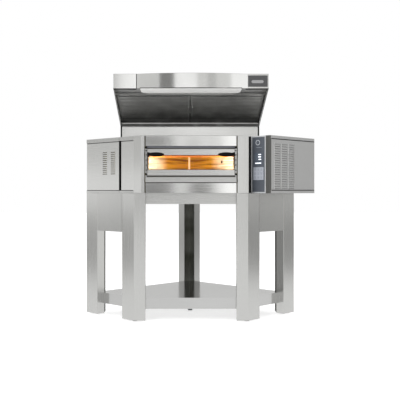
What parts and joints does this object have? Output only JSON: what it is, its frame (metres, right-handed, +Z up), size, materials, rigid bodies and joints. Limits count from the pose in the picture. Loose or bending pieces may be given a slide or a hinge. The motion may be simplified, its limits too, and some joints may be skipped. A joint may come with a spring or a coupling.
{
  "type": "electric pizza oven",
  "caption": "Corner-shaped electric deck oven with a drop-down glass door and side control box, on a legged stand with a shelf, under an extraction hood with baffle filters.",
  "frame": {"origin": "on the floor, under the shelf's centre foot, on the plane of symmetry of stand and casing", "axes": "+X to the right of a person facing the door, +Y away from that person into the room's corner, +Z up"},
  "size_m": [2.0289, 1.5079, 2.122],
  "materials": {
    "stainless": "satin",
    "stainless_dark": "satin",
    "black_paint": "satin",
    "dark_panel": "matte",
    "box_corner": "satin",
    "aluminium_trim": "satin",
    "grey_paint": "satin",
    "black_plastic": "matte",
    "pale_film": "satin",
    "diffuser": "satin",
    "clear_glass": "clear",
    "lamp_glass": "clear",
    "chamber_steel": "satin",
    "firebrick": "rough, fired clay",
    "heater_steel": "oxidised",
    "mineral_wool": "rough",
    "seal_braid": "rough",
    "electronics": "matte",
    "galvanised": "matte"
  },
  "bodies": {
    "frame": {"front_legs": "stainless", "side_legs": "stainless", "back_leg": "stainless", "shelf": "stainless", "stand_rails": "stainless", "side_valances": "stainless", "base_tray": "stainless", "roof_panel": "stainless", "side_panels": "stainless", "vent_cover": "stainless", "rear_walls": "stainless", "front_pillars": "stainless", "top_fascia": "stainless", "lower_fascia": "stainless", "sill": "stainless", "front_band": "stainless", "hood_facets": "stainless", "hood_shell": "stainless", "riser": "stainless", "lamp_shelf": "stainless", "filter_tracks": "stainless", "exhaust_collar": "stainless", "mouth_frame": "stainless_dark", "hinge_brackets": "stainless_dark", "levelling_feet": "stainless_dark", "gap_channel": "black_paint", "slot_baffle": "black_paint", "control_panel": "dark_panel", "switch_plate": "dark_panel", "corner_profile": "box_corner", "bezel": "aluminium_trim", "box_shell": "grey_paint", "box_vent_side": "grey_paint", "cable_gland": "black_plastic", "keypad": "pale_film", "lamp_diffuser": "diffuser", "lamp_caps": "lamp_glass", "chamber_shell": "chamber_steel", "floor_tray": "chamber_steel", "steam_outlet": "chamber_steel", "chamber_fittings": "chamber_steel", "stone_deck": "firebrick", "heating_elements": "heater_steel", "insulation": "mineral_wool", "door_seal": "seal_braid", "electronics": "electronics", "display": "electronics", "blower": "galvanised"},
    "door": {"door_upper_rail": "stainless", "door_lower_rail": "stainless", "door_end_plates": "stainless", "door_glass": "clear_glass", "door_inner_glass": "clear_glass", "door_handles": "black_plastic"},
    "ring_button": {"ring_button": "aluminium_trim"},
    "hood_switch": {"hood_switch": "pale_film"},
    "filter_right": {"filter_right": "stainless"},
    "filter_left": {"filter_left": "stainless"},
    "fan_rotor": {"fan_rotor": "black_plastic"},
    "blower_wheel": {"blower_wheel": "galvanised"}
  },
  "joints": [
    {"name": "door_hinge", "type": "hinge", "parent": "frame", "child": "door", "pos_m": [0, -0.613, 1.228], "axis": [1, 0, 0], "range_deg": [0, 85]},
    {"name": "ring_button_press", "type": "slide", "parent": "frame", "child": "ring_button", "axis": [0.7071, 0.7071, 0], "range_m": [0, 0.0025], "stiffness_N_per_m": 800, "springref_m": -0.001},
    {"name": "hood_switch_press", "type": "slide", "parent": "frame", "child": "hood_switch", "axis": [0, 1, 0], "range_m": [0, 0.002], "stiffness_N_per_m": 1200, "springref_m": -0.001},
    {"name": "filter_right_lift", "type": "slide", "parent": "frame", "child": "filter_right", "axis": [0, -0.9164, 0.4003], "range_m": [0, 0.018]},
    {"name": "filter_left_lift", "type": "slide", "parent": "frame", "child": "filter_left", "axis": [0, -0.9164, 0.4003], "range_m": [0, 0.018]},
    {"name": "cooling_fan_spin", "type": "hinge", "parent": "frame", "child": "fan_rotor", "pos_m": [0.77965, -0.52859, 1.31], "axis": [0.7071, -0.7071, 0], "continuous": true},
    {"name": "blower_spin", "type": "hinge", "parent": "frame", "child": "blower_wheel", "pos_m": [0, -0.105, 1.968], "axis": [1, 0, 0], "continuous": true}
  ]
}
